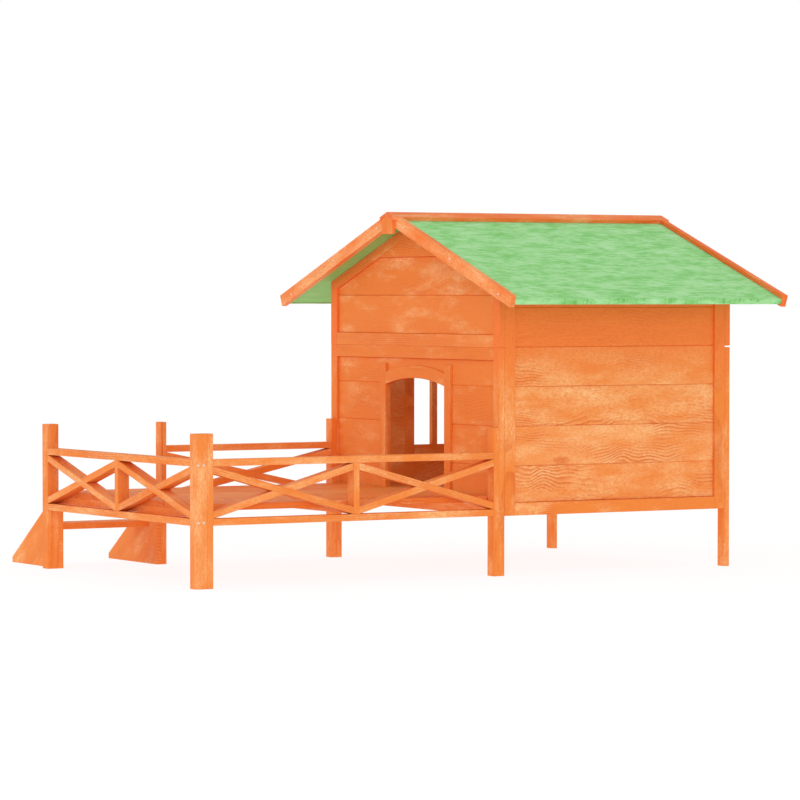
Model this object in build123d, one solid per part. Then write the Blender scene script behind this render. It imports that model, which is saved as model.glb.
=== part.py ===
from build123d import *
from math import atan, cos, radians, sin, tan
import os

# Raised timber dog kennel with a fenced porch, millimetres, +Z up.
# The doorway and porch face -Y, the porch steps are on the -X side.
# The drawing below has X = 0 on the ridge, Y = 0 on the porch's front face and Z = 0 on the
# ground. The whole kennel is moved at the end so that its origin is the middle of its footprint.

# Timber stock
thin = 19.0                 # thickness of frame battens
wide = 38.0                 # width of frame battens
post_face = 36.0            # width of legs, posts and stiles, seen from the front
rail_height = 20.0          # thickness of fence rails and braces
board = 10.0                # thickness of tongue-and-groove wall boards
board_pitch = 119.0         # visible height of one wall board
board_recess = thin - board  # wall boards lie this far behind the face of their frame
first_board = 110.5         # visible height of the lowest wall board

# Porch
house_width = 1000.0
porch_length = 1028.0       # porch front face to house front face
post_height = 445.0
front_rail_depth = 38.0
fence_low_rail = 181.0      # underside of the lower fence rail
fence_top_rail = 351.0      # underside of the upper fence rail
stair_rear = 393.0          # front face of the post behind the steps
deck_top = 239.5
deck_board = 18.0
deck_half_width = 458.0
deck_boards = 8
deck_gap = 3.0

# Steps
stringer = 16.0
stringer_run = 333.0        # from the posts' inner face out to the toe
stringer_toe = 17.0
stringer_slope = 0.70
tread_low = 116.0
tread_outer = 621.0         # distance of the tread's edges from the ridge line
tread_inner = 520.0

# House walls
house_length = 848.0
wall_low = 180.0
wall_top = 882.0
front_split = 683.5         # where the front gable panel stands on the lower panel
rear_lower_top = 679.5      # the rear panels stand a little apart
rear_gable_low = 684.5
rafter_width = 32.0
floor_board = 19.0
floor_top = 239.0
floor_boards = 7

# Doorway
door_width = 348.0
door_middle = 12.0
arch_spring = 562.0
arch_rise = 22.0
arch_band = 39.0
jamb_width = 34.0
jamb_top = 627.0

# Barred window in the -X wall
window_width = 244.0
window_low = 355.0
window_height = 250.0
bar_width = 19.0

# Roof
pitch = radians(20.48)
ridge_height = 1083.9       # where the two felted slopes would meet
felt = 2.0
roof_board = 12.0
eave_drop = 16.5            # felt turned down over the eave
eave_reach = 684.0          # ridge line to eave
cap_thickness = 12.6
cap_edge = 42.8             # ridge to the cap's edge, along the slope
cap_front = 936.0
cap_rear = 1967.0
apex_block = 11.0
apex_block_half_width = 31.0
apex_block_low = 1029.0
bargeboard = 18.0
bargeboard_width = 37.0
bargeboard_end = 732.5      # ridge to the bargeboard's end, along the slope

# Screws. They are small and many, so they are drawn with flat sides to keep the mesh light.
screw_sides = 10
screw_radius = 2.0
screw_hole = 2.1
head_radius = 4.5
head_height = 1.6
head_taper = 40.0           # degrees
screw_length = 52.0
fence_screw_depths = (8.5, 26.0)         # from the post's front face
fence_screw_heights = (190.5, 355.0)
barge_screws = ((88.0, -6.5), (372.0, -4.5), (663.0, -9.5))  # down the slope and below the felt

half = house_width / 2
inner = half - post_face
front = porch_length
rear = porch_length + house_length
roof_front = cap_front + apex_block + bargeboard
roof_rear = cap_rear - apex_block - bargeboard
under_roof = felt + roof_board
origin_shift = Pos(
    (inner + stringer_run - bargeboard_end * cos(pitch) - cap_thickness * sin(pitch)) / 2,
    -cap_rear / 2,
    0,
)


def block(x, y, z):
    """A rectangular bar given by its three ranges."""
    size = Box(x[1] - x[0], y[1] - y[0], z[1] - z[0])
    return Pos((x[0] + x[1]) / 2, (y[0] + y[1]) / 2, (z[0] + z[1]) / 2) * size


def slab(outline, y):
    """A flat board: an outline of (x, z) points carried from y[0] to y[1]."""
    edge = Polyline(*[(x, y[0], z) for x, z in outline], close=True)
    return extrude(make_face(edge), amount=y[1] - y[0], dir=(0, 1, 0))


# Every panel is drawn standing on the X axis with its outer face on Y = 0 and looking to -Y.
# These places turn it to the four sides of the kennel.
porch_front_side = Pos(0, 0, 0)
house_front_side = Pos(0, front, 0)
house_rear_side = Pos(0, rear, 0) * Rot(0, 0, 180)
right_side = Pos(half, 0, 0) * Rot(0, 0, 90)
left_side = Pos(-half, 0, 0) * Rot(0, 0, -90)


def on_left(y):
    """A range of Y on the kennel, as the -X side's panels measure it."""
    return (-y[1], -y[0])


nodes = {}


def keep(name, place, *solids):
    """Put solids on their side of the kennel, under one node name."""
    nodes.setdefault(name, []).extend(place * solid for solid in solids)


# Fences

def brace_outline(span, height, falling):
    """A diagonal that fills a bay corner to corner, cut upright at both ends."""
    lean = atan((height[1] - height[0] - rail_height) / (span[1] - span[0]))
    cut = rail_height / cos(lean)
    if falling:
        return [(span[0], height[1]), (span[0], height[1] - cut),
                (span[1], height[0]), (span[1], height[0] + cut)]
    return [(span[0], height[0]), (span[0], height[0] + cut),
            (span[1], height[1]), (span[1], height[1] - cut)]


def crossed_braces(span, height, depth):
    """Two diagonals halved into each other where they cross. The falling one runs through outside."""
    falling = slab(brace_outline(span, height, True), (0, depth))
    rising = slab(brace_outline(span, height, False), (0, depth))
    crossing = falling & rising
    outer_half = crossing & block(span, (0, depth / 2), height)
    inner_half = crossing & block(span, (depth / 2, depth), height)
    return falling - inner_half, rising - outer_half


def fence(name, place, span, depth, bays):
    """Two rails with crossed braces, and an upright between two bays."""
    low = (fence_low_rail, fence_low_rail + rail_height)
    top = (fence_top_rail, fence_top_rail + rail_height)
    between = (low[1], top[0])
    rails = [block(span, (0, depth), low), block(span, (0, depth), top)]
    keep(name + "_rails", place, *rails)
    middle = (span[0] + span[1]) / 2
    ends = [span[0], span[1]]
    if bays == 2:
        ends = [span[0], middle - thin / 2, middle + thin / 2, span[1]]
        keep(name + "_mid_stile", place, block(ends[1:3], (0, depth), between))
    for start, stop in zip(ends[::2], ends[1::2]):
        falling, rising = crossed_braces((start, stop), between, depth)
        keep(name + "_falling_braces", place, falling)
        keep(name + "_rising_braces", place, rising)


def porch_fences():
    standing = (0, post_height)
    keep("front_left_post", porch_front_side, block((-half, -inner), (0, front_rail_depth), standing))
    keep("front_right_post", porch_front_side, block((inner, half), (0, front_rail_depth), standing))
    fence("front_fence", porch_front_side, (-inner, inner), front_rail_depth, 2)
    right = (front_rail_depth + thin, front - thin)
    left = (stair_rear + thin, front - thin)
    for end in ((right[0] - thin, right[0]), (right[1], right[1] + thin)):
        keep("right_fence_end_stiles", right_side, block(end, (0, post_face), standing))
    for end in ((left[0] - thin, left[0]), (left[1], left[1] + thin)):
        keep("left_fence_end_stiles", left_side, block(on_left(end), (0, post_face), standing))
    fence("right_fence", right_side, right, post_face, 2)
    fence("left_fence", left_side, on_left(left), post_face, 1)


# Deck and steps

def deck():
    bearer_low = fence_low_rail + rail_height
    bearer = (bearer_low, deck_top - deck_board)
    middle = (front_rail_depth + front) / 2
    span = (-inner, inner)
    first = front_rail_depth
    keep("deck_bearers", porch_front_side,
         block(span, (first, first + thin), bearer),
         block((-half, inner), (middle - thin / 2, middle + thin / 2), bearer),
         block(span, (front - thin, front), bearer))
    pitch_x = (2 * deck_half_width + deck_gap) / deck_boards
    for number in range(deck_boards):
        x = -deck_half_width + number * pitch_x
        plank = block((x, x + pitch_x - deck_gap), (first, front), (deck_top - deck_board, deck_top))
        keep("deck_planks", porch_front_side, plank)


def steps():
    toe = -inner - stringer_run
    top_start = toe + (deck_top - stringer_toe) / stringer_slope
    outline = [(toe, 0), (toe, stringer_toe), (top_start, deck_top), (-inner, deck_top), (-inner, 0)]
    front_face = front_rail_depth
    rear_face = stair_rear - stringer
    keep("front_stringer", porch_front_side, slab(outline, (front_face, front_face + stringer)))
    keep("rear_stringer", porch_front_side, slab(outline, (rear_face, stair_rear)))
    between = (front_face + stringer, rear_face)
    keep("stair_tread", porch_front_side,
         block((-tread_outer, -tread_inner), between, (tread_low, tread_low + thin)))


# Boarded wall panels

tongue = 3.0
tongue_height = 5.0
groove_play = 0.4
edge_bevel = 2.0


def board_section(z, has_tongue, has_groove):
    """The end of one wall board: bevelled outer edges, tongue up, groove down, as (y, z) points."""
    outer, back = board_recess, thin
    root = outer + (board - tongue) / 2
    points = [(outer + edge_bevel, z[0]), (outer, z[0] + edge_bevel),
              (outer, z[1] - edge_bevel), (outer + edge_bevel, z[1])]
    if has_tongue:
        points += [(root, z[1]), (root, z[1] + tongue_height),
                   (root + tongue, z[1] + tongue_height), (root + tongue, z[1])]
    points += [(back, z[1]), (back, z[0])]
    if has_groove:
        side, roof = root - groove_play / 2, z[0] + tongue_height + groove_play
        points += [(side + tongue + groove_play, z[0]), (side + tongue + groove_play, roof),
                   (side, roof), (side, z[0])]
    return points


def boarding(span, height, first_joint):
    """Boards stacked between two heights, with joints one pitch apart."""
    joints = [height[0]]
    joint = first_joint
    while joint < height[1] - 1:
        if joint > height[0]:
            joints.append(joint)
        joint += board_pitch
    joints.append(height[1])
    solids = []
    for low, high in zip(joints, joints[1:]):
        section = board_section((low, high), high != height[1], low != height[0])
        edge = Polyline(*[(span[0], y, z) for y, z in section], close=True)
        solids.append(extrude(make_face(edge), amount=span[1] - span[0], dir=(1, 0, 0)))
    return solids


first_joint = wall_low + wide + first_board


def door_opening():
    """The arched doorway as a solid to take out of the front boards."""
    low, depth = floor_top, (-thin, 2 * thin)
    left, right = door_middle - door_width / 2, door_middle + door_width / 2
    corners = [(left, depth[0], low), (right, depth[0], low),
               (right, depth[0], arch_spring), (left, depth[0], arch_spring)]
    crown = (door_middle, depth[0], arch_spring + arch_rise)
    edge = Line(corners[0], corners[1]) + Line(corners[1], corners[2])
    edge += ThreePointArc(corners[2], crown, corners[3]) + Line(corners[3], corners[0])
    return extrude(make_face(edge), amount=depth[1] - depth[0], dir=(0, 1, 0))


def arch_band_board():
    """The curved board over the doorway, fitted between the jambs."""
    left, right = door_middle - door_width / 2, door_middle + door_width / 2
    low, high = arch_spring, arch_spring + arch_band
    under = ThreePointArc((left, 0, low), (door_middle, 0, low + arch_rise), (right, 0, low))
    over = ThreePointArc((right, 0, high), (door_middle, 0, high + arch_rise), (left, 0, high))
    edge = under + Line((right, 0, low), (right, 0, high)) + over + Line((left, 0, high), (left, 0, low))
    return extrude(make_face(edge), amount=board_recess, dir=(0, 1, 0))


def front_wall():
    legs = (0, front_split)
    keep("front_legs", house_front_side,
         block((-half, -inner), (0, thin), legs), block((inner, half), (0, thin), legs))
    low, top = (wall_low, wall_low + wide), (front_split - wide, front_split)
    keep("front_wall_rails", house_front_side,
         block((-inner, inner), (0, thin), low), block((-inner, inner), (0, thin), top))
    opening = door_opening()
    for plank in boarding((-inner, inner), (low[1], top[0]), first_joint):
        keep("front_wall_boards", house_front_side, *(plank - opening).solids())
    for side in (-1, 1):
        edge = door_middle + side * door_width / 2
        span = sorted((edge, edge + side * jamb_width))
        keep("door_jambs", house_front_side, block(span, (0, board_recess), (low[1], jamb_top)))
    keep("door_arch", house_front_side, arch_band_board())


def rear_wall():
    legs = (0, rear_lower_top)
    keep("rear_legs", house_rear_side,
         block((-half, -inner), (0, thin), legs), block((inner, half), (0, thin), legs))
    low, top = (wall_low, wall_low + wide), (rear_lower_top - wide, rear_lower_top)
    keep("rear_wall_rails", house_rear_side,
         block((-inner, inner), (0, thin), low), block((-inner, inner), (0, thin), top))
    keep("rear_wall_boards", house_rear_side, *boarding((-inner, inner), (low[1], top[0]), first_joint))


def under_slope(x, drop):
    """Height of a line that runs a set distance below the felt, square to the slope."""
    return ridge_height - abs(x) * tan(pitch) - drop / cos(pitch)


def gable(name, place, gable_low):
    """The panel under the roof: rail, stiles, two rafters, boards cut to the slope and a flush peak."""
    keep(name + "_rail", place, block((-inner, inner), (0, thin), (gable_low, gable_low + wide)))
    reach = under_roof + rafter_width
    for side in (-1, 1):
        stile = [(side * inner, gable_low), (side * half, gable_low),
                 (side * half, under_slope(half, under_roof)),
                 (side * inner, under_slope(inner, under_roof))]
        keep(name + "_stiles", place, slab(stile, (0, thin)))
        rafter = [(0, under_slope(0, under_roof)), (side * inner, under_slope(inner, under_roof)),
                  (side * inner, under_slope(inner, reach)), (0, under_slope(0, reach))]
        keep(name + "_rafters", place, slab(rafter, (0, thin)))
    low = gable_low + wide
    top = low + 2 * board_pitch
    peak_half = (under_slope(0, reach) - top) / tan(pitch)
    inside = slab([(-inner, low), (inner, low), (inner, under_slope(inner, reach)), (peak_half, top),
                   (-peak_half, top), (-inner, under_slope(inner, reach))], (0, thin))
    for plank in boarding((-inner, inner), (low, top), low + board_pitch):
        keep(name + "_boards", place, *(plank & inside).solids())
    peak = [(-peak_half, top), (peak_half, top), (0, under_slope(0, reach))]
    keep("gable_peaks", place, slab(peak, (0, thin)))


side_span = (front + thin, rear - thin)


def side_frame(name, place, ends):
    """Corner battens and the rails between them."""
    keep(name + "_stiles", place,
         block((ends[0], ends[0] + wide), (0, thin), (wall_low, wall_top)),
         block((ends[1] - wide, ends[1]), (0, thin), (wall_low, wall_top)))
    span = (ends[0] + wide, ends[1] - wide)
    keep(name + "_rails", place,
         block(span, (0, thin), (wall_low, wall_low + wide)),
         block(span, (0, thin), (wall_top - wide, wall_top)))
    return span, (wall_low + wide, wall_top - wide)


def right_wall():
    span, height = side_frame("right_wall", right_side, side_span)
    keep("right_wall_boards", right_side, *boarding(span, height, first_joint))


def left_wall():
    """The wall with the barred window, between two full-height uprights."""
    span, height = side_frame("left_wall", left_side, on_left(side_span))
    middle = (span[0] + span[1]) / 2
    opening = (middle - window_width / 2, middle + window_width / 2)
    uprights = ((opening[0] - post_face, opening[0]), (opening[1], opening[1] + post_face))
    for upright in uprights:
        keep("window_stiles", left_side, block(upright, (0, thin), height))
    sill = (window_low - wide, window_low)
    head = (window_low + window_height, window_low + window_height + wide)
    keep("window_rails", left_side, block(opening, (0, thin), sill), block(opening, (0, thin), head))
    space = (window_width - 2 * bar_width) / 3
    for number in (1, 2):
        start = opening[0] + number * space + (number - 1) * bar_width
        keep("window_bars", left_side, block((start, start + bar_width), (0, thin), (sill[1], head[0])))
    keep("left_wall_boards", left_side, *boarding((uprights[1][1], span[1]), height, first_joint))
    keep("left_wall_boards", left_side, *boarding((span[0], uprights[0][0]), height, first_joint))
    keep("left_wall_boards", left_side, *boarding(opening, (height[0], sill[0]), first_joint))
    keep("left_wall_boards", left_side, *boarding(opening, (head[1], height[1]), first_joint))


def floor():
    """Boards across the cabin on three joists between the end walls."""
    low = floor_top - floor_board
    side = half - thin
    joist_y = (front + thin, rear - thin)
    for middle in (-side + thin / 2, 0, side - thin / 2):
        joist = block((middle - thin / 2, middle + thin / 2), joist_y, (low - wide, low))
        keep("floor_joists", porch_front_side, joist)
    step = (joist_y[1] - joist_y[0]) / floor_boards
    for number in range(floor_boards):
        y = joist_y[0] + number * step
        keep("floor_boards", porch_front_side, block((-side, side), (y, y + step), (low, floor_top)))


# Roof. Slope points are (u, v): u down the slope from the ridge, v out of the felt.

def slope_point(u, v, side):
    """A slope point as (x, z) on the +X or -X half of the roof."""
    return (side * (u * cos(pitch) + v * sin(pitch)), ridge_height - u * sin(pitch) + v * cos(pitch))


def mitre(v):
    """How far down the slope the ridge plane lies at a height v above the felt."""
    return -v * tan(pitch)


def slope_slab(outline, y, side):
    return slab([slope_point(u, v, side) for u, v in outline], y)


def roof():
    eave = eave_reach / cos(pitch)
    sides = {"left": -1, "right": 1}
    along = (roof_front, roof_rear)
    for name, side in sides.items():
        plate = [(mitre(-felt), -felt), (eave - felt, -felt),
                 (eave - felt, -under_roof), (mitre(-under_roof), -under_roof)]
        keep("roof_board_" + name, porch_front_side, slope_slab(plate, along, side))
        sheet = [(0, 0), (eave, 0), (eave, -eave_drop), (eave - felt, -eave_drop),
                 (eave - felt, -felt), (mitre(-felt), -felt)]
        keep("roof_felt_" + name, porch_front_side, slope_slab(sheet, along, side))
        cap = [(0, 0), (mitre(cap_thickness), cap_thickness), (cap_edge, cap_thickness), (cap_edge, 0)]
        keep("ridge_cap_" + name, porch_front_side, slope_slab(cap, (cap_front, cap_rear), side))
        low = cap_thickness - bargeboard_width
        barge = [(0, 0), (cap_edge, 0), (cap_edge, cap_thickness), (bargeboard_end, cap_thickness),
                 (bargeboard_end, low), (mitre(low), low)]
        for end, start in (("front", roof_front - bargeboard), ("rear", roof_rear)):
            keep(end + "_bargeboards", porch_front_side,
                 slope_slab(barge, (start, start + bargeboard), side))
        batten_start, batten_end = wide, (half - thin) / cos(pitch) - 2 * thin
        batten = [(batten_start, -under_roof), (batten_end, -under_roof),
                  (batten_end, -under_roof - thin), (batten_start, -under_roof - thin)]
        for y in ((front + thin, front + thin + wide), (rear - thin - wide, rear - thin)):
            keep("roof_battens", porch_front_side, slope_slab(batten, y, side))
    width = apex_block_half_width
    shoulder = ridge_height - width * tan(pitch)
    pentagon = [(-width, apex_block_low), (width, apex_block_low), (width, shoulder),
                (0, ridge_height), (-width, shoulder)]
    for y in ((cap_front, cap_front + apex_block), (cap_rear - apex_block, cap_rear)):
        keep("apex_blocks", porch_front_side, slab(pentagon, y))


# Screws

def prism(radius, low, high, taper=0):
    """A many-sided bar on the Z axis."""
    return extrude(Pos(0, 0, low) * RegularPolygon(radius, screw_sides), amount=high - low, taper=taper)


def fasten(name, place, targets):
    """Put in one pan-head screw, its head on the surface, and drill what it passes through."""
    head = prism(head_radius, 0, head_height, taper=head_taper)
    keep(name, place, head + prism(screw_radius, -screw_length, 0))
    hole = place * prism(screw_hole, -screw_length - 0.5, 0)
    for target in targets:
        nodes[target] = [part - hole for part in nodes[target]]


def screws():
    for side, post in ((-1, "front_left_post"), (1, "front_right_post")):
        for z in fence_screw_heights:
            for y in fence_screw_depths:
                place = Pos(side * half, y, z) * Rot(0, side * 90, 0)
                fasten("fence_screws", place, [post, "front_fence_rails"])
    for side, plate in ((-1, "roof_board_left"), (1, "roof_board_right")):
        for u, v in barge_screws:
            x, z = slope_point(u, v, side)
            for y, turn, barge in ((roof_front - bargeboard, 90, "front_bargeboards"),
                                   (roof_rear + bargeboard, -90, "rear_bargeboards")):
                fasten("bargeboard_screws", Pos(x, y, z) * Rot(turn, 0, 0), [barge, plate])


porch_fences()
deck()
steps()
front_wall()
rear_wall()
gable("front_gable", house_front_side, front_split)
gable("rear_gable", house_rear_side, rear_gable_low)
right_wall()
left_wall()
floor()
roof()
screws()

os.makedirs("parts", exist_ok=True)
for node, solids in nodes.items():
    placed = [origin_shift * solid for solid in solids]
    whole = placed[0] if len(placed) == 1 else Compound(children=placed)
    export_step(whole, f"parts/{node}.step")
print(len(nodes), "nodes")
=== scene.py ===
"""Looks of a raised timber dog kennel with a fenced porch: stain, grain, roofing felt and light.

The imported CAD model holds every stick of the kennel. This script dresses those sticks, lays the felt
as two sheets of its own, and sets up a plain studio with the camera at the photograph's angle.
Sizes are in metres, with the origin on the ground in the middle of the kennel.
"""

from __future__ import annotations

import logging
import math
from dataclasses import dataclass, field, replace
from enum import Enum
from typing import Any, Protocol

import bpy
import numpy as np
from mathutils import Matrix, Vector

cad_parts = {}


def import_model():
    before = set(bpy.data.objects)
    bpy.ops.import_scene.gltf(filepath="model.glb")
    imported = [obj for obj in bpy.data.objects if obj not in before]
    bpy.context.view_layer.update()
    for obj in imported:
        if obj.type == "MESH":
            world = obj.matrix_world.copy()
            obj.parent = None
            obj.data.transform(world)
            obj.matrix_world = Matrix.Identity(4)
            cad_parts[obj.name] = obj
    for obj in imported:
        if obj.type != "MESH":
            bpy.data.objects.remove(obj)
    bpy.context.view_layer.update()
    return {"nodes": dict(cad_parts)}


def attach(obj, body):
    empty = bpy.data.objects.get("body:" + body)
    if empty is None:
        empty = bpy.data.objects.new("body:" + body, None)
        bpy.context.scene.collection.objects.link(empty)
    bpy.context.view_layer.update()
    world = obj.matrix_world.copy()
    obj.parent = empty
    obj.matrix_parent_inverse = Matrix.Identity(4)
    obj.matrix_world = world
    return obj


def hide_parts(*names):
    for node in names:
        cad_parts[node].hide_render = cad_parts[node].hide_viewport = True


log = logging.getLogger("kennel")

Triple = tuple[float, float, float]
Colour = tuple[float, float, float, float]

WHITE: Colour = (1.0, 1.0, 1.0, 1.0)

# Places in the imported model: its middle line, the faces of porch and house, and the boards' joints.
RIDGE_X = 0.0532
PORCH_FRONT = -0.9835
HOUSE_FRONT = PORCH_FRONT + 1.028
HOUSE_MIDDLE = HOUSE_FRONT + 0.424
DOOR_X = RIDGE_X + 0.012
BOARD_PITCH = 0.119
WALL_JOINT = 0.3285
GABLE_JOINT = 0.8405
ROOF_PITCH = math.radians(20.48)

# Where cells that part front sticks from rear ones begin, a little before the porch and the house.
PORCH_CELLS = PORCH_FRONT - 0.1
HOUSE_CELLS = HOUSE_FRONT - 0.2


def linear(red: int, green: int, blue: int) -> Colour:
    """Turn an 8-bit display colour into the linear colour that shaders take, by the sRGB curve.

    Args:
        red, green, blue: display values from 0 to 255.

    Returns:
        The linear red, green and blue, and an alpha of 1.
    """
    shares = (value / 255 for value in (red, green, blue))
    channels = [share / 12.92 if share <= 0.04045 else ((share + 0.055) / 1.055) ** 2.4 for share in shares]
    return channels[0], channels[1], channels[2], 1.0


def placed(name: str, data: bpy.types.ID) -> bpy.types.Object:
    """Make an object of a mesh, lamp or camera, and link it to the scene."""
    made = bpy.data.objects.new(name, data)
    bpy.context.scene.collection.objects.link(made)
    return made


@dataclass(frozen=True)
class Noise:
    """A recipe for smooth noise: features in a metre along each axis, finer octaves, and their weight."""

    features: Triple
    octaves: float
    weight: float


class Amount:
    """A number that varies over a surface: a shader socket whose operators add Math nodes."""

    def __init__(self, graph: Graph, socket: bpy.types.NodeSocket) -> None:
        """Wrap a value socket of a graph."""
        self.graph = graph
        self.socket = socket

    def _maths(self, operation: str, *operands: Any) -> Amount:
        """Add a Math node on these operands and wrap its result."""
        made = self.graph.node("ShaderNodeMath", {"operation": operation}, *operands)
        return Amount(self.graph, made.outputs[0])

    def __add__(self, other: Any) -> Amount:
        """This plus another amount or number."""
        return self._maths("ADD", self, other)

    __radd__ = __add__

    def __sub__(self, other: Any) -> Amount:
        """This less another amount or number."""
        return self._maths("SUBTRACT", self, other)

    def __rsub__(self, other: Any) -> Amount:
        """A number less this."""
        return self._maths("SUBTRACT", other, self)

    def __mul__(self, other: Any) -> Amount:
        """This times another amount or number."""
        return self._maths("MULTIPLY", self, other)

    __rmul__ = __mul__

    def __truediv__(self, other: Any) -> Amount:
        """This over another amount or number."""
        return self._maths("DIVIDE", self, other)

    def root(self) -> Amount:
        """The square root."""
        return self._maths("SQRT", self)

    def fraction(self) -> Amount:
        """The part after the decimal point."""
        return self._maths("FRACT", self)

    def size(self) -> Amount:
        """The value without its sign."""
        return self._maths("ABSOLUTE", self)

    def ease(self, low: float, high: float) -> Amount:
        """Rise smoothly from 0 at low to 1 at high."""
        made = self.graph.node("ShaderNodeMapRange", {"interpolation_type": "SMOOTHSTEP"}, self, low, high)
        return Amount(self.graph, made.outputs[0])


class Graph:
    """The node tree of one material."""

    def __init__(self, name: str) -> None:
        """Start a material with an empty tree and its output node."""
        self.material = bpy.data.materials.new(name)
        self.material.use_nodes = True
        self.tree = self.material.node_tree
        self.tree.nodes.clear()
        self.output = self.node("ShaderNodeOutputMaterial", {})

    def node(self, kind: str, settings: dict[str, Any], *inputs: Any, **named: Any) -> bpy.types.Node:
        """Add a node.

        Args:
            kind: Blender's name for the node type.
            settings: the node's own options, set before any socket is used.
            *inputs: values or links for the sockets, in their order; None leaves one as it is.
            **named: values or links for sockets by name, with underscores for spaces.

        Returns:
            The new node.
        """
        made = self.tree.nodes.new(kind)
        for option, value in settings.items():
            setattr(made, option, value)
        for index, given in enumerate(inputs):
            self._feed(made.inputs[index], given)
        for name, given in named.items():
            self._feed(made.inputs[name.replace("_", " ")], given)
        return made

    def _feed(self, socket: bpy.types.NodeSocket, given: Any) -> None:
        """Link a socket to an amount or another socket, or set its value."""
        source = given.socket if isinstance(given, Amount) else given
        if isinstance(source, bpy.types.NodeSocket):
            self.tree.links.new(source, socket)
        elif source is not None:
            socket.default_value = source

    def vector(self, operation: str, *operands: Any) -> bpy.types.NodeSocket:
        """Add a Vector Math node and return its vector."""
        return self.node("ShaderNodeVectorMath", {"operation": operation}, *operands).outputs[0]

    def parts(self, vector: bpy.types.NodeSocket) -> tuple[Amount, Amount, Amount]:
        """Split a vector into three amounts."""
        split = self.node("ShaderNodeSeparateXYZ", {}, vector)
        return Amount(self, split.outputs[0]), Amount(self, split.outputs[1]), Amount(self, split.outputs[2])

    def noise(self, place: bpy.types.NodeSocket, recipe: Noise) -> Amount:
        """Add smooth noise between 0 and 1.

        Args:
            place: the point that it is read at.
            recipe: how fine it is along each axis, and how rough.

        Returns:
            The noise as an amount.
        """
        scaled = self.vector("MULTIPLY", place, recipe.features)
        made = self.node("ShaderNodeTexNoise", {}, scaled, Scale=1.0, Detail=recipe.octaves,
                         Roughness=recipe.weight)
        return Amount(self, made.outputs[0])

    def blend(self, share: Any, first: Any, second: Any) -> bpy.types.NodeSocket:
        """Mix two colours by a share from 0 to 1."""
        # The node lists its number and vector sockets first: 6 and 7 are the colours, and 2 their mix.
        made = self.node("ShaderNodeMix", {"data_type": "RGBA"}, share)
        self._feed(made.inputs[6], first)
        self._feed(made.inputs[7], second)
        return made.outputs[2]

    def toned(self, colour: bpy.types.NodeSocket, tone: Any) -> bpy.types.NodeSocket:
        """Make a colour lighter or darker by an amount around 1."""
        return self.node("ShaderNodeVectorMath", {"operation": "SCALE"}, colour, Scale=tone).outputs[0]

    def coated(self, colour: bpy.types.NodeSocket, roughness: Amount, relief: Amount, strength: float,
               depth: float, specular: float) -> bpy.types.Material:
        """Finish the material as a coloured surface with fine relief.

        Args:
            colour: the surface's colour.
            roughness: its roughness.
            relief: its height, in shares of the depth.
            strength: how much of the relief shows.
            depth: the relief's depth.
            specular: how much it mirrors, with 0.5 for plain varnish.

        Returns:
            The material.
        """
        bump = self.node("ShaderNodeBump", {}, strength, depth, Height=relief)
        shader = self.node("ShaderNodeBsdfPrincipled", {}, Base_Color=colour, Roughness=roughness,
                           Normal=bump.outputs[0])
        shader.inputs["Specular IOR Level"].default_value = specular
        return self.surface(shader)

    def surface(self, shader: bpy.types.Node) -> bpy.types.Material:
        """Use a shader as the material's surface and return the material."""
        self.tree.links.new(shader.outputs[0], self.output.inputs["Surface"])
        return self.material


class Grain(Enum):
    """Which way a stick's grain runs."""

    ALONG_X = "x"
    ALONG_Y = "y"
    ALONG_Z = "z"

    def turn(self, lean: float) -> Triple:
        """Work out the turn that lays the grain along X.

        Args:
            lean: the angle that the grain climbs along its run, in radians.

        Returns:
            The rotation for a Mapping node.
        """
        if self is Grain.ALONG_Y:
            return -lean, 0.0, -math.pi / 2
        return 0.0, (math.pi / 2 if self is Grain.ALONG_Z else 0.0) + lean, 0.0


class Finish(Protocol):
    """What a piece can be dressed in."""

    @property
    def name(self) -> str:
        """The material's name."""

    def material(self) -> bpy.types.Material:
        """Build the material."""


@dataclass(frozen=True)
class Stain:
    """The colours of a stain on timber: in summer wood, between, where rubbed, and as painted eave shade."""

    deep: Colour
    body: Colour
    pale: Colour
    eave_shade_colour: Colour


ORANGE = Stain(linear(208, 84, 24), linear(241, 134, 56), linear(252, 186, 124), linear(249, 129, 59))
TRIM = Stain(linear(214, 78, 24), linear(245, 127, 52), linear(253, 190, 128), linear(249, 122, 54))
# Trim that the felt's green bounced light falls on (ridge caps, rear bargeboards, battens) is painted redder
# to cancel that light.
TRIM_PAINTED_AGAINST_BOUNCE = replace(TRIM, deep=linear(216, 78, 24), body=linear(249, 122, 52))
GREEN = Stain(linear(116, 196, 96), linear(150, 226, 134), linear(166, 232, 148), linear(150, 226, 134))

# How the wood varies, along the grain, across it and through the stick.
PITH_WAVER = Noise((2.3, 9.0, 9.0), 3.0, 0.55)
PITH_DRIFT = Noise((3.4, 3.0, 3.0), 2.0, 0.5)
FIBRES = Noise((14.0, 300.0, 300.0), 3.0, 0.65)
SPECKLE = Noise((90.0, 190.0, 190.0), 3.0, 0.7)
SHOWING_RINGS = Noise((3.0, 11.0, 11.0), 3.0, 0.55)
RUBBED_PATCHES = Noise((5.5, 17.0, 17.0), 4.0, 0.62)
KNOTS: Triple = (3.4, 8.5, 8.5)
TREE_SPAN: Triple = (17.0, 23.0, 29.0)


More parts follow.
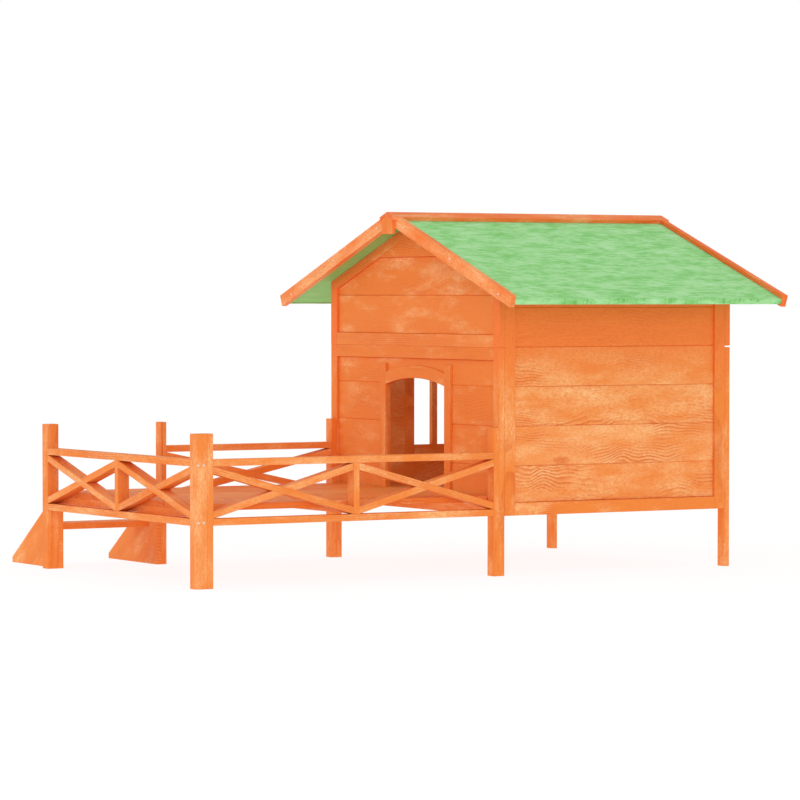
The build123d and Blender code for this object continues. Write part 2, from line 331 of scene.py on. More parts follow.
@dataclass(frozen=True)
class StainedTimber:
    """Planed softwood under stain, with growth rings, fibres, knots and pale patches.

    A node may hold several sticks. Space is cut into cells, one to a stick, and each cell lies at its
    own place in the tree, so that neighbours never match.

    Attributes:
        name: the material's name, which also picks its sticks' places in the tree.
        grain: the way that the grain runs.
        cell: a cell's size along each axis, or 0 where the axis is uncut.
        start: a corner of one cell.
        lean: the angle that the grain climbs along its run, in radians.
        folded: whether one half of the kennel mirrors the other, for sticks that lean both ways.
        figure: 0 for straight lines, and 1 for the arches of a board sawn near the pith.
        ring: the width of a growth ring.
        contrast: how strongly the rings show.
        rubbed: how far the stain is rubbed pale in patches.
        painted_shade_height: the height that the rubbed patches end at, where painted shade under the eave
            begins.
        knots: the share of the scattered spots that are knots.
        stain: the stain's colours.
    """

    name: str
    grain: Grain
    cell: Triple = (0.0, 0.0, 0.0)
    start: Triple = (0.0, 0.0, 0.0)
    lean: float = 0.0
    folded: bool = False
    figure: float = 0.0
    ring: float = 0.0085
    contrast: float = 1.0
    rubbed: float = 0.5
    painted_shade_height: float = 9.0
    knots: float = 0.0
    stain: Stain = ORANGE

    def _stick(self, graph: Graph) -> tuple[bpy.types.NodeSocket, bpy.types.NodeSocket]:
        """Find the point within its own stick.

        Args:
            graph: the material's node tree.

        Returns:
            The point with the grain along X, and three random numbers of the stick as a vector.
        """
        counts = tuple(1 / size if size else 0.0 for size in self.cell)
        middle = tuple(size / 2 for size in self.cell)
        point = graph.node("ShaderNodeTexCoord", {}).outputs["Object"]
        moved = graph.vector("SUBTRACT", point, self.start)
        index = graph.vector("FLOOR", graph.vector("MULTIPLY", moved, counts))
        centre = graph.vector("ADD", graph.vector("MULTIPLY", index, self.cell), middle)
        local = graph.vector("ABSOLUTE", moved) if self.folded else graph.vector("SUBTRACT", moved, centre)
        turned = graph.node("ShaderNodeMapping", {}, local, Rotation=self.grain.turn(self.lean))
        key = sum(ord(letter) * (place + 1) for place, letter in enumerate(self.name)) % 97
        seed = graph.vector("ADD", index, (0.37, 0.61, key + 0.5))
        lot = graph.node("ShaderNodeTexWhiteNoise", {"noise_dimensions": "3D"}, seed)
        return turned.outputs[0], lot.outputs["Color"]

    def _knots(self, graph: Graph, tree: bpy.types.NodeSocket) -> Amount:
        """A hump from 0 to 1 round each scattered knot, wide enough to push the rings aside.

        Args:
            graph: the material's node tree.
            tree: the point within the tree.

        Returns:
            The hump, around only as many of the scattered spots as the finish has knots.
        """
        spread = graph.vector("MULTIPLY", tree, KNOTS)
        spots = graph.node("ShaderNodeTexVoronoi", {"feature": "F1"}, spread, Scale=1.0)
        chance = graph.parts(spots.outputs["Color"])[0]
        hump = 1 - Amount(graph, spots.outputs["Distance"]).ease(0.02, 0.34)
        return hump * (1 - chance.ease(self.knots - 0.01, self.knots))

    def _sawn_end(self, graph: Graph) -> Amount:
        """1 on the sawn ends of a stick and 0 on its long faces."""
        facing = graph.node("ShaderNodeTexCoord", {}).outputs["Normal"]
        turned = graph.node("ShaderNodeMapping", {"vector_type": "VECTOR"}, facing,
                            Rotation=self.grain.turn(self.lean))
        return graph.parts(turned.outputs[0])[0].size().ease(0.80, 0.95)

    def _rings(self, graph: Graph, place: bpy.types.NodeSocket, lot: bpy.types.NodeSocket,
               tree: bpy.types.NodeSocket, knot: Amount) -> Amount:
        """Draw the growth rings.

        A ring is the distance from a wavering pith line, cut into equal steps. Each step darkens slowly
        and ends sharply, as spring and summer wood do. A near pith gives the pointed arches of a board
        sawn through the middle of a tree, and a far one gives straight lines.

        Args:
            graph: the material's node tree.
            place: the point within its own stick, with the grain along X.
            lot: three random numbers of the stick.
            tree: the point within the tree.
            knot: the hump round each knot.

        Returns:
            0 in spring wood, rising to 1 in summer wood.
        """
        along, across, through = graph.parts(place)
        first, second, third = graph.parts(lot)
        waver = graph.noise(tree, PITH_WAVER) - 0.5
        drift = graph.noise(tree, PITH_DRIFT) - 0.5
        pith = 0.34 - 0.32 * self.figure
        tilt = along * (third - 0.5) * 0.10
        sideways = across + waver * (0.018 + 0.07 * self.figure) + (first - 0.5) * 0.08
        depth = through + drift * (0.03 + 0.20 * self.figure) + tilt + second * 0.05 + pith
        radius = (sideways * sideways + depth * depth).root() + knot * 0.020
        step = (radius / self.ring).fraction()
        return step.ease(0.20, 0.90) * (1 - step.ease(0.92, 1.0))

    def _painted_eave_shade(self, graph: Graph) -> Amount:
        """Painted eave shade: 0 on open timber, rising to 1 over the height where the rubbed patches end."""
        height = graph.parts(graph.node("ShaderNodeTexCoord", {}).outputs["Object"])[2]
        return height.ease(self.painted_shade_height - 0.10, self.painted_shade_height + 0.10)

    def material(self) -> bpy.types.Material:
        """Build the stained surface.

        The stain's body colour goes pale by the rubbed patches and deep by the rings, fibres, knots and
        sawn ends. Under the eave, shade is painted: darker, redder timber with fainter rings and no patches.

        Returns:
            The material.
        """
        graph = Graph(self.name)
        place, lot = self._stick(graph)
        first, second, _ = graph.parts(lot)
        tree = graph.vector("ADD", place, graph.vector("MULTIPLY", lot, TREE_SPAN))
        knot = self._knots(graph, tree)
        # Painted shade under the eave, made redder to offset the felt's green bounced light.
        eave_shade_mask = self._painted_eave_shade(graph)
        fibres = graph.noise(tree, FIBRES)
        speckle = graph.noise(tree, SPECKLE)
        showing = graph.noise(tree, SHOWING_RINGS).ease(0.44, 0.68)
        ring = self._rings(graph, place, lot, tree, knot) * (0.06 + 0.50 * showing)
        ring = ring * (1 - eave_shade_mask * 0.65) * self.contrast
        patches = graph.noise(tree, RUBBED_PATCHES).ease(0.60 - 0.36 * self.rubbed, 0.84) * (1 - eave_shade_mask)
        lightness = patches * (0.95 + (speckle - 0.5) * 2.8) + (fibres - 0.5) * 0.5 + (second - 0.5) * 0.16
        # Painted shade: a tenth more of the deep colour under the eave.
        darkness = ring + (fibres - 0.5) * 0.55 + (0.5 - speckle) * 0.7 + eave_shade_mask * 0.10
        darkness = darkness + knot.ease(0.72, 0.97) * 0.45 + (first - 0.5) * 0.10
        # Painted shade: a redder body colour under the eave.
        body = graph.blend(eave_shade_mask, self.stain.body, self.stain.eave_shade_colour)
        colour = graph.blend(lightness, body, self.stain.pale)
        colour = graph.blend(darkness, colour, self.stain.deep)
        colour = graph.blend(self._sawn_end(graph) * 0.30, colour, self.stain.deep)
        return graph.coated(colour, roughness=0.52 + fibres * 0.16, relief=fibres * 0.6 - ring,
                            strength=0.35, depth=0.0006, specular=0.18)


@dataclass(frozen=True)
class RoofingFelt:
    """Soft green felt with a mottled nap; its turned-down lip has painted shade, darker and in upright
    folds.
    """

    name: str = "roofing_felt"
    eave: float = 0.728
    deep: Colour = linear(128, 200, 110)
    body: Colour = linear(156, 220, 142)
    pale: Colour = linear(188, 234, 178)
    pleat_shade_colour: Colour = linear(112, 184, 92)
    clumps: Noise = Noise((9.0, 21.0, 1.0), 3.0, 0.58)
    strands: Noise = Noise((24.0, 70.0, 1.0), 4.0, 0.7)
    nap: Noise = Noise((620.0, 620.0, 1.0), 2.0, 0.7)
    pleat_shading: Noise = Noise((120.0, 12.0, 1.0), 3.0, 0.7)

    def material(self) -> bpy.types.Material:
        """Build the felt's surface from its UV map, which measures metres along and down the sheet."""
        graph = Graph(self.name)
        sheet = graph.node("ShaderNodeUVMap", {"uv_map": "UVMap"}).outputs[0]
        clumps = graph.noise(sheet, self.clumps)
        strands = graph.noise(sheet, self.strands).ease(0.30, 0.70)
        nap = graph.noise(sheet, self.nap)
        turned = graph.parts(sheet)[1].ease(self.eave - 0.004, self.eave)
        # Painted shade of fine upright folds, only on the turned-down part.
        pleat_shading = graph.noise(sheet, self.pleat_shading).ease(0.46, 0.62) * turned
        colour = graph.blend((clumps - 0.5) * 2.6 + (strands - 0.5) * 0.8 + 0.16, self.body, self.pale)
        colour = graph.blend((0.5 - clumps) * 2.8 + (0.5 - strands) * 0.9 + 0.06, colour, self.deep)
        colour = graph.blend(pleat_shading * clumps.ease(0.53, 0.40), colour, self.pleat_shade_colour)
        # Painted shade: the turned-down lip is toned 7% darker against the stronger light that falls on it.
        colour = graph.toned(colour, 0.97 + nap * 0.06 - turned * 0.07)
        return graph.coated(colour, roughness=0.86 + nap * 0.10, relief=nap * 0.5 + strands * 0.5,
                            strength=0.55, depth=0.0012, specular=0.12)


@dataclass(frozen=True)
class ScrewMetal:
    """Zinc-plated steel, dulled and faintly scratched."""

    name: str = "screw_metal"
    bright: Colour = linear(248, 222, 200)
    dull: Colour = linear(226, 186, 154)
    metallic: float = 0.6
    scuffs: Noise = Noise((900.0, 900.0, 2400.0), 3.0, 0.6)

    def material(self) -> bpy.types.Material:
        """Build the plated surface."""
        graph = Graph(self.name)
        place = graph.node("ShaderNodeTexCoord", {}).outputs["Object"]
        scuffs = graph.noise(place, self.scuffs)
        colour = graph.blend(scuffs.ease(0.35, 0.65), self.dull, self.bright)
        shader = graph.node("ShaderNodeBsdfPrincipled", {}, Base_Color=colour,
                            Roughness=0.34 + scuffs * 0.2)
        shader.inputs["Metallic"].default_value = self.metallic
        return graph.surface(shader)


@dataclass
class Assembly:
    """A group of the kennel's pieces, with what is needed to dress CAD sticks."""

    nodes: dict[str, bpy.types.Object]
    eased_edge: float = 0.0011
    edge_steps: int = 2
    edge_angle: float = math.radians(40)
    weld_gap: float = 0.00002
    finishes: dict[str, bpy.types.Material] = field(default_factory=dict, init=False)

    def dress(self, node: str, finish: Finish, edge: float | None = None) -> None:
        """Give a CAD node its finish, and ease its sharp edges.

        Args:
            node: the CAD node's name.
            finish: the finish, made into a material once and then shared.
            edge: the width of the eased edge, or None for the assembly's own.
        """
        if finish.name not in self.finishes:
            self.finishes[finish.name] = finish.material()
        stick = self.nodes[node]
        stick.data.materials.clear()
        stick.data.materials.append(self.finishes[finish.name])
        width = self.eased_edge if edge is None else edge
        if width > 0:
            weld = stick.modifiers.new("Weld", "WELD")
            weld.merge_threshold = self.weld_gap
            ease = stick.modifiers.new("Ease", "BEVEL")
            ease.width = width
            ease.segments = self.edge_steps
            ease.limit_method = "ANGLE"
            ease.angle_limit = self.edge_angle
        log.info("%s: %s", type(self).__name__, node)


@dataclass
class Porch(Assembly):
    """The fences with their crossed braces, and the planked deck."""

    front_bay: float = 0.4545
    right_bay: float = 0.4665
    left_bay: float = 0.597
    brace_climb: float = 0.130
    plank_pitch: float = 0.114875
    deck_edge: float = RIDGE_X - 0.458

    def build(self) -> None:
        """Dress the posts, rails, braces and deck."""
        upright = StainedTimber("porch_uprights", Grain.ALONG_Z, cell=(1.0, 0.5, 0.0),
                                start=(RIDGE_X, PORCH_CELLS, 0.0), ring=0.006, rubbed=0.55)
        for node in ("front_left_post", "front_right_post", "left_fence_end_stiles",
                     "right_fence_end_stiles", "front_fence_mid_stile", "right_fence_mid_stile"):
            self.dress(node, upright)
        across = StainedTimber("porch_cross_rails", Grain.ALONG_X, cell=(0.0, 0.4, 0.17),
                               start=(RIDGE_X, PORCH_CELLS, 0.1), ring=0.006, rubbed=0.7)
        lengthwise = replace(across, name="porch_side_rails", grain=Grain.ALONG_Y, cell=(1.0, 0.0, 0.17))
        self.dress("front_fence_rails", across)
        self.dress("deck_bearers", across)
        self.dress("left_fence_rails", lengthwise)
        self.dress("right_fence_rails", lengthwise)
        self._braces("front", Grain.ALONG_X, self.front_bay, 1)
        self._braces("right", Grain.ALONG_Y, self.right_bay, 1)
        self._braces("left", Grain.ALONG_Y, self.left_bay, -1)
        planks = StainedTimber("deck_planks", Grain.ALONG_Y, cell=(self.plank_pitch, 0.0, 0.0),
                               start=(self.deck_edge, 0.0, 0.23), figure=0.55, ring=0.008, contrast=1.3,
                               rubbed=0.3, knots=0.2)
        self.dress("deck_planks", planks)

    def _braces(self, side: str, grain: Grain, bay: float, way: int) -> None:
        """Dress one fence's falling and rising braces.

        Args:
            side: the fence's side, as the node names have it.
            grain: the fence's own direction.
            bay: the width of a bay.
            way: 1 if the fence was drawn along its axis, -1 if against it.
        """
        lean = math.atan(self.brace_climb / bay)
        for kind, turn in (("falling", -lean), ("rising", lean)):
            finish = StainedTimber(f"{side}_{kind}_braces", grain, cell=(0.5, 0.52, 0.0),
                                   start=(RIDGE_X - 0.5, PORCH_FRONT, 0.0), lean=turn * way, ring=0.006,
                                   rubbed=0.6)
            self.dress(f"{side}_fence_{kind}_braces", finish)


@dataclass
class Steps(Assembly):
    """The two sloping stringers and the tread between them."""

    slope: float = 0.70

    def build(self) -> None:
        """Dress the stringers with the grain up the slope, and the tread with it across."""
        stringer = StainedTimber("stringers", Grain.ALONG_X, cell=(0.0, 0.25, 0.0),
                                 start=(RIDGE_X, PORCH_FRONT - 0.05, 0.0), lean=math.atan(self.slope),
                                 figure=0.4)
        self.dress("front_stringer", stringer)
        self.dress("rear_stringer", stringer)
        tread = StainedTimber("tread", Grain.ALONG_Y, start=(-0.52, 0.0, 0.12), figure=0.5)
        self.dress("stair_tread", tread)


@dataclass
class House(Assembly):
    """The framed and boarded walls, the gables and the floor."""

    floor_front: float = PORCH_FRONT + 1.047
    floor_pitch: float = 0.81 / 7
    board_edge: float = 0.0005
    corner_edge: float = 0.0016

    def build(self) -> None:
        """Dress the frames, boards and floor."""
        self._frames()
        self._boards()
        floor = StainedTimber("floor_boards", Grain.ALONG_X, cell=(0.0, self.floor_pitch, 0.0),
                              start=(RIDGE_X, self.floor_front, 0.23), figure=0.5)
        self.dress("floor_boards", floor, self.board_edge)
        self.dress("floor_joists", replace(floor, name="floor_joists", grain=Grain.ALONG_Y,
                                           cell=(0.3, 0.0, 0.0), figure=0.0))

    def _frames(self) -> None:
        """Dress the legs, stiles, rails and rafters round the boards."""
        upright = StainedTimber("house_uprights", Grain.ALONG_Z, cell=(1.0, 0.4, 0.0),
                                start=(RIDGE_X, HOUSE_CELLS, 0.0), ring=0.006, rubbed=0.7,
                                painted_shade_height=0.62)
        for node in ("front_legs", "rear_legs", "front_gable_stiles", "rear_gable_stiles",
                     "left_wall_stiles", "right_wall_stiles"):
            self.dress(node, upright, self.corner_edge)
        across = StainedTimber("house_cross_rails", Grain.ALONG_X, cell=(0.0, 0.4, 0.25),
                               start=(RIDGE_X, HOUSE_CELLS, 0.0), ring=0.0065)
        for node in ("front_wall_rails", "rear_wall_rails"):
            self.dress(node, across)
        gable = replace(across, name="gable_rails", start=(RIDGE_X, HOUSE_CELLS, 0.55))
        self.dress("front_gable_rail", gable)
        self.dress("rear_gable_rail", gable)
        lengthwise = replace(across, name="house_side_rails", grain=Grain.ALONG_Y, cell=(1.0, 0.0, 0.25))
        self.dress("left_wall_rails", lengthwise)
        self.dress("right_wall_rails", lengthwise)
        rafter = StainedTimber("gable_rafters", Grain.ALONG_X, cell=(1.0, 1.0, 0.0),
                               start=(RIDGE_X, -2.0, -1.0), lean=-ROOF_PITCH, folded=True, ring=0.006,
                               rubbed=0.2)
        self.dress("front_gable_rafters", rafter)
        self.dress("rear_gable_rafters", rafter)
        peak = StainedTimber("gable_peaks", Grain.ALONG_X, cell=(0.0, 0.4, 0.0),
                             start=(RIDGE_X, HOUSE_CELLS, 1.0), figure=0.4, rubbed=0.2)
        self.dress("gable_peaks", peak)

    def _boards(self) -> None:
        """Dress the tongue-and-groove boards, each pitch of height a board of its own."""
        joint = WALL_JOINT - BOARD_PITCH
        wall = StainedTimber("front_boards", Grain.ALONG_X, cell=(0.6, 0.4, BOARD_PITCH),
                             start=(DOOR_X, HOUSE_CELLS, joint), figure=0.75, contrast=0.45, rubbed=0.45,
                             knots=0.25)
        self.dress("front_wall_boards", wall, self.board_edge)
        whole = replace(wall, name="rear_boards", cell=(0.0, 0.4, BOARD_PITCH),
                        start=(RIDGE_X, HOUSE_CELLS, joint))
        self.dress("rear_wall_boards", whole, self.board_edge)
        gable = replace(whole, name="gable_boards", start=(RIDGE_X, HOUSE_CELLS, GABLE_JOINT - BOARD_PITCH))
        self.dress("front_gable_boards", gable, self.board_edge)
        self.dress("rear_gable_boards", gable, self.board_edge)
        side = StainedTimber("side_boards", Grain.ALONG_Y, cell=(1.0, 0.0, BOARD_PITCH),
                             start=(RIDGE_X, HOUSE_MIDDLE, joint), figure=0.9, ring=0.0095, contrast=1.3,
                             rubbed=1.0, painted_shade_height=0.64, knots=0.2)
        self.dress("right_wall_boards", side, self.board_edge)
        parted = replace(side, name="window_wall_boards", cell=(1.0, 0.29, BOARD_PITCH),
                         start=(RIDGE_X, HOUSE_FRONT + 0.279, joint), contrast=0.7, rubbed=0.7)
        self.dress("left_wall_boards", parted, self.board_edge)


@dataclass
class Openings(Assembly):
    """What frames the doorway and the barred window."""

    arch_foot: float = 0.6
    rail_cell: float = 0.2
    stile_cell: float = 0.1

    def build(self) -> None:
        """Dress the jambs, the arch, and the window's stiles, rails and bars."""
        jamb = StainedTimber("door_jambs", Grain.ALONG_Z, cell=(0.6, 0.0, 0.0), start=(DOOR_X, 0.0, 0.0),
                             ring=0.006)
        self.dress("door_jambs", jamb)
        arch = StainedTimber("door_arch", Grain.ALONG_X, start=(DOOR_X, 0.0, self.arch_foot), ring=0.006)
        self.dress("door_arch", arch)
        stile = StainedTimber("window_stiles", Grain.ALONG_Z, cell=(0.0, self.stile_cell, 0.0),
                              start=(0.0, HOUSE_MIDDLE, 0.0), ring=0.006)
        self.dress("window_stiles", stile)
        self.dress("window_bars", replace(stile, name="window_bars"))
        rail = replace(stile, name="window_rails", grain=Grain.ALONG_Y, cell=(0.0, 0.0, self.rail_cell))
        self.dress("window_rails", rail)


@dataclass
class Roof(Assembly):
    """The roof's boards and trim, and the two sheets of felt laid over them.

    Attributes:
        ridge_height: the height that the felt's slopes meet at.
        eave_reach: how far the eave stands out from the ridge, level.
        felt: the felt's thickness.
        drop: how far it is turned down at the eave.
        front, rear: where the sheets begin and end along the ridge.
        fold: the radius of the turn at the eave.
        slope_steps, fold_steps, drop_steps, back_steps, ridge_steps: how many points each stretch has.
        ripple: the height of the ripple that the felt lies in.
        cap_cover, cap_fade: where the ripple begins below the ridge, and how far it takes to rise.
        trim_fade: how far it takes to rise from the bargeboards.
        turned_ripple: how much of it is left on the part that is turned down.
    """

    ridge_height: float = 1.0839
    eave_reach: float = 0.684
    felt: float = 0.002
    drop: float = 0.0165
    front: float = PORCH_FRONT + 0.965
    rear: float = PORCH_FRONT + 1.938
    fold: float = 0.0014
    slope_steps: int = 110
    fold_steps: int = 7
    drop_steps: int = 8
    back_steps: int = 50
    ridge_steps: int = 150
    ripple: float = 0.00022
    cap_cover: float = 0.055
    cap_fade: float = 0.05
    trim_fade: float = 0.03
    turned_ripple: float = 0.6

    def build(self) -> None:
        """Dress the boards, battens and trim, and lay the felt."""
        board = StainedTimber("roof_boards", Grain.ALONG_Y, cell=(1.0, 0.0, 0.0), start=(RIDGE_X, 0.0, 0.9),
                              figure=0.3, stain=GREEN)
        self.dress("roof_board_left", board)
        self.dress("roof_board_right", board)
        cap = StainedTimber("ridge_cap", Grain.ALONG_Y, cell=(1.0, 0.0, 0.0), start=(RIDGE_X, 0.0, 1.0),
                            ring=0.007, rubbed=0.6, stain=TRIM_PAINTED_AGAINST_BOUNCE)
        self.dress("ridge_cap_left", cap)
        self.dress("ridge_cap_right", cap)
        barge = StainedTimber("bargeboards", Grain.ALONG_X, cell=(1.0, 0.5, 0.0),
                              start=(RIDGE_X, -2.0, -1.0), lean=-ROOF_PITCH, folded=True, ring=0.006,
                              rubbed=1.05, stain=TRIM)
        self.dress("front_bargeboards", barge)
        rear = replace(barge, name="rear_bargeboards", rubbed=0.45, stain=TRIM_PAINTED_AGAINST_BOUNCE)
        self.dress("rear_bargeboards", rear)
        self.dress("roof_battens", replace(rear, name="roof_battens"))
        apex = StainedTimber("apex_blocks", Grain.ALONG_Z, cell=(0.0, 1.0, 0.0),
                             start=(RIDGE_X, -0.5, 1.0), ring=0.005)
        self.dress("apex_blocks", apex)
        for side, name in ((-1, "left"), (1, "right")):
            sheet = self.felt_sheet(side, name)
            felt = RoofingFelt(name=f"roofing_felt_{name}", eave=self._eave())
            sheet.data.materials.append(felt.material())
            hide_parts(f"roof_felt_{name}")
            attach(sheet, "root")
            log.info("Roof: felt sheet, %s", name)

    def _eave(self) -> float:
        """The distance from the ridge to the eave, down the slope."""
        return self.eave_reach / math.cos(ROOF_PITCH)

    def _outline(self) -> tuple[np.ndarray, np.ndarray, np.ndarray]:
        """Work out the felt's closed outline.

        It runs down the slope from the ridge, round a small fold, down the eave, and back along the
        underside. Points are given down the slope and out of it.

        Returns:
            The distance down the slope, the height out of it, and the share of each point that may ripple.
        """
        eave = self._eave()
        down = np.linspace(0.0, eave - self.fold, self.slope_steps)
        turn = np.linspace(0.0, np.pi / 2, self.fold_steps)[1:]
        fold_down = eave - self.fold + self.fold * np.sin(turn)
        fold_out = -self.fold + self.fold * np.cos(turn)
        lip = np.linspace(-self.fold, -self.drop, self.drop_steps)[1:]
        inner = np.linspace(-self.drop, -self.felt, self.drop_steps)
        back = np.linspace(eave - self.felt, self.felt * math.tan(ROOF_PITCH), self.back_steps)[1:]
        along = np.concatenate([down, fold_down, np.full_like(lip, eave),
                                np.full_like(inner, eave - self.felt), back])
        out = np.concatenate([np.zeros_like(down), fold_out, lip, inner, np.full_like(back, -self.felt)])
        free = np.concatenate([np.clip((down - self.cap_cover) / self.cap_fade, 0, 1),
                               np.full(len(turn) + len(lip), self.turned_ripple),
                               np.zeros(len(inner) + len(back))])
        return along, out, free

    def felt_sheet(self, side: int, name: str) -> bpy.types.Object:
        """Lay one sheet of felt.

        The outline is carried along the ridge. Each point is moved out of the slope by a low ripple,
        which is a sum of sines of its place along and down the sheet, and dies out under the cap and
        at the bargeboards.

        Args:
            side: 1 for the +X slope and -1 for the -X slope.
            name: the side's name.

        Returns:
            The sheet, with a UV map in metres.
        """
        down, out, free = self._outline()
        along = np.linspace(self.front, self.rear, self.ridge_steps)
        grid_down, grid_along = np.meshgrid(down, along)
        edge = np.clip(np.minimum(grid_along - self.front, self.rear - grid_along) / self.trim_fade, 0, 1)
        swell = (np.sin(grid_along * 31 + 2.1 * np.sin(grid_down * 17 + side))
                 * np.sin(grid_down * 23 + 0.7 * side))
        waves = (swell + 0.6 * np.sin(grid_along * 71 + grid_down * 39)
                 + 0.5 * np.sin(grid_along * 13 - grid_down * 57))
        height = out + self.ripple * free * edge * waves
        cosine, sine = math.cos(ROOF_PITCH), math.sin(ROOF_PITCH)
        x = RIDGE_X + side * (grid_down * cosine + height * sine)
        z = self.ridge_height - grid_down * sine + height * cosine
        points = np.stack([x, grid_along, z], axis=-1)
        walked = np.concatenate([[0.0], np.cumsum(np.hypot(np.diff(down), np.diff(out)))])
        return closed_sweep(f"felt_sheet_{name}", points, walked, along, flipped=side < 0)


def closed_sweep(name: str, points: np.ndarray, around: np.ndarray, along: np.ndarray,
                 flipped: bool) -> bpy.types.Object:
    """Make a closed shell from a ring of points carried along a path.

    Row i holds the ring at step i of the path. Neighbouring rings are joined by quads, the last point of
    a ring joins the first, and the two end rings are filled.

    Args:
        name: the object's name.
        points: an array of path steps by ring points by 3.
        around: the distance walked round the ring at each of its points, for the UV map.
        along: the distance along the path at each step, for the UV map.
        flipped: turn the faces over, for a mirrored ring.

    Returns:
        The object, placed in its mesh, with faces outwards.
    """
    steps, ring = points.shape[:2]
    index = np.arange(steps * ring).reshape(steps, ring)
    right = np.roll(index, -1, axis=1)
    quads = np.stack([index[:-1], right[:-1], right[1:], index[1:]], axis=-1).reshape(-1, 4)
    ends = [index[0][::-1], index[-1]]
    faces = quads.tolist() + [end.tolist() for end in ends]
    if flipped:
        faces = [face[::-1] for face in faces]
    mesh = bpy.data.meshes.new(name)
    mesh.from_pydata(points.reshape(-1, 3).tolist(), [], faces)
    mesh.polygons.foreach_set("use_smooth", np.ones(len(faces), bool))
    corner = np.empty(len(mesh.loops), np.int32)
    mesh.loops.foreach_get("vertex_index", corner)
    places = np.stack([np.repeat(along, ring), np.tile(around, steps)], axis=-1)
    mesh.uv_layers.new(name="UVMap").data.foreach_set("uv", places[corner].astype(np.float32).ravel())
    mesh.update()
    return placed(name, mesh)


@dataclass
class Fixings(Assembly):
    """The screws that show on the posts and bargeboards."""

    def build(self) -> None:
        """Dress the screws, which are too small to be eased."""
        metal = ScrewMetal()
        self.dress("fence_screws", metal, 0.0)
        self.dress("bargeboard_screws", metal, 0.0)


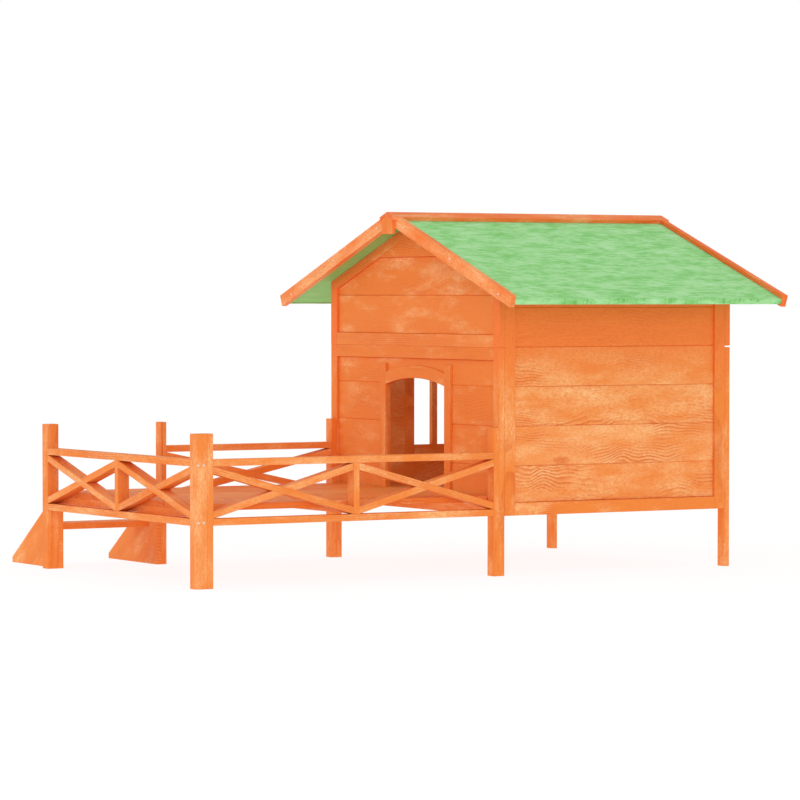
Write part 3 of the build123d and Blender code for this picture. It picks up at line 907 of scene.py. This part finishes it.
@dataclass
class Studio:
    """A pale floor, soft light from all round, and the camera at the photograph's angle.

    Attributes:
        eye, bearing, rise: where the camera stands, and the angles that it looks from.
        lens, shift: its focal length in millimetres, and its lens shift.
        floor_half: half the floor's width.
        floor_paint, floor_share, floor_glow: the floor's paint, how much of it glows, and how brightly.
        sky: the strength of the light from all round.
        lamps: each lamp's name, place and power.
        lamp_size, lamp_aim: how wide the lamps are, and the point that they face.
        bounce_place, bounce_power, bounce_size: the small lamp in the cabin.
    """

    eye: Triple = (10.1278, -6.1034, 0.8397)
    bearing: float = math.radians(59.35)
    rise: float = math.radians(2.15)
    lens: float = 171.364
    shift: tuple[float, float] = (0.04648, 0.04801)
    floor_half: float = 9.0
    floor_paint: Colour = (0.86, 0.86, 0.86, 1.0)
    floor_share: float = 0.84
    floor_glow: float = 1.06
    sky: float = 0.82
    lamps: tuple[tuple[str, Triple, float], ...] = (
        ("key", (9.0, -3.5, 1.7), 150.0), ("fill", (-1.5, -8.0, 1.9), 80.0))
    lamp_size: float = 3.6
    lamp_aim: Triple = (0.0, 0.1, 0.4)
    bounce_place: Triple = (RIDGE_X, HOUSE_FRONT + 0.42, 0.62)
    bounce_power: float = 1.5
    bounce_size: float = 0.2

    def build(self) -> None:
        """Set up the floor, the light and the camera."""
        self._floor()
        self._world()
        self._lamps()
        self._camera()

    def _floor(self) -> None:
        """Lay a wide pale floor that glows like a light table and still keeps a faint shadow."""
        graph = Graph("studio_floor")
        paint = graph.node("ShaderNodeBsdfDiffuse", {}, Color=self.floor_paint)
        glow = graph.node("ShaderNodeEmission", {}, Color=WHITE, Strength=self.floor_glow)
        shader = graph.node("ShaderNodeMixShader", {}, self.floor_share, paint.outputs[0], glow.outputs[0])
        half = self.floor_half
        corners = [(-half, -half, 0), (half, -half, 0), (half, half, 0), (-half, half, 0)]
        mesh = bpy.data.meshes.new("floor")
        mesh.from_pydata(corners, [], [(0, 1, 2, 3)])
        mesh.materials.append(graph.surface(shader))
        placed("floor", mesh)

    def _world(self) -> None:
        """Light the scene evenly from all round, and show plain white to the camera."""
        world = bpy.data.worlds.new("studio")
        bpy.context.scene.world = world
        world.use_nodes = True
        tree = world.node_tree
        tree.nodes.clear()
        rays = tree.nodes.new("ShaderNodeLightPath")
        shown = tree.nodes.new("ShaderNodeMath")
        shown.operation = "MAXIMUM"
        strength = tree.nodes.new("ShaderNodeMapRange")
        strength.inputs["To Min"].default_value = self.sky
        strength.inputs["To Max"].default_value = 1.0
        light = tree.nodes.new("ShaderNodeBackground")
        light.inputs["Color"].default_value = WHITE
        output = tree.nodes.new("ShaderNodeOutputWorld")
        tree.links.new(rays.outputs["Is Camera Ray"], shown.inputs[0])
        tree.links.new(rays.outputs["Is Transmission Ray"], shown.inputs[1])
        tree.links.new(shown.outputs[0], strength.inputs["Value"])
        tree.links.new(strength.outputs[0], light.inputs["Strength"])
        tree.links.new(light.outputs[0], output.inputs["Surface"])

    def _lamps(self) -> None:
        """Stand large soft lamps low to the sides, and a small one in the cabin for its bounced light."""
        for name, place, power in self.lamps:
            lamp = bpy.data.lights.new(name, "AREA")
            lamp.energy = power
            lamp.size = self.lamp_size
            holder = placed(name, lamp)
            holder.location = place
            sight = Vector(self.lamp_aim) - Vector(place)
            holder.rotation_euler = sight.to_track_quat("-Z", "Y").to_euler()
        glow = bpy.data.lights.new("cabin_bounce", "POINT")
        glow.energy = self.bounce_power
        glow.shadow_soft_size = self.bounce_size
        placed("cabin_bounce", glow).location = self.bounce_place

    def _camera(self) -> None:
        """Stand the camera where the photograph was taken, from the solved bearing, rise and lens."""
        side, up = math.cos(self.rise), math.sin(self.rise)
        back = Vector((math.sin(self.bearing) * side, -math.cos(self.bearing) * side, up))
        right = Vector((math.cos(self.bearing), math.sin(self.bearing), 0.0))
        turn = Matrix((right, back.cross(right), back)).transposed()
        lens = bpy.data.cameras.new("photograph")
        lens.sensor_width = 36.0
        lens.sensor_fit = "HORIZONTAL"
        lens.lens = self.lens
        lens.shift_x, lens.shift_y = self.shift
        lens.clip_end = 60.0
        camera = placed("camera", lens)
        camera.matrix_world = Matrix.Translation(self.eye) @ turn.to_4x4()
        bpy.context.scene.camera = camera


def main() -> None:
    """Load the frame, dress each group of pieces, and light them."""
    logging.basicConfig(level=logging.INFO, format="%(name)s: %(message)s")
    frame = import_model()
    bpy.context.scene.view_settings.view_transform = "Standard"
    for group in (Porch, Steps, House, Openings, Roof, Fixings):
        group(frame["nodes"]).build()
    Studio().build()


if __name__ == "__main__":
    main()
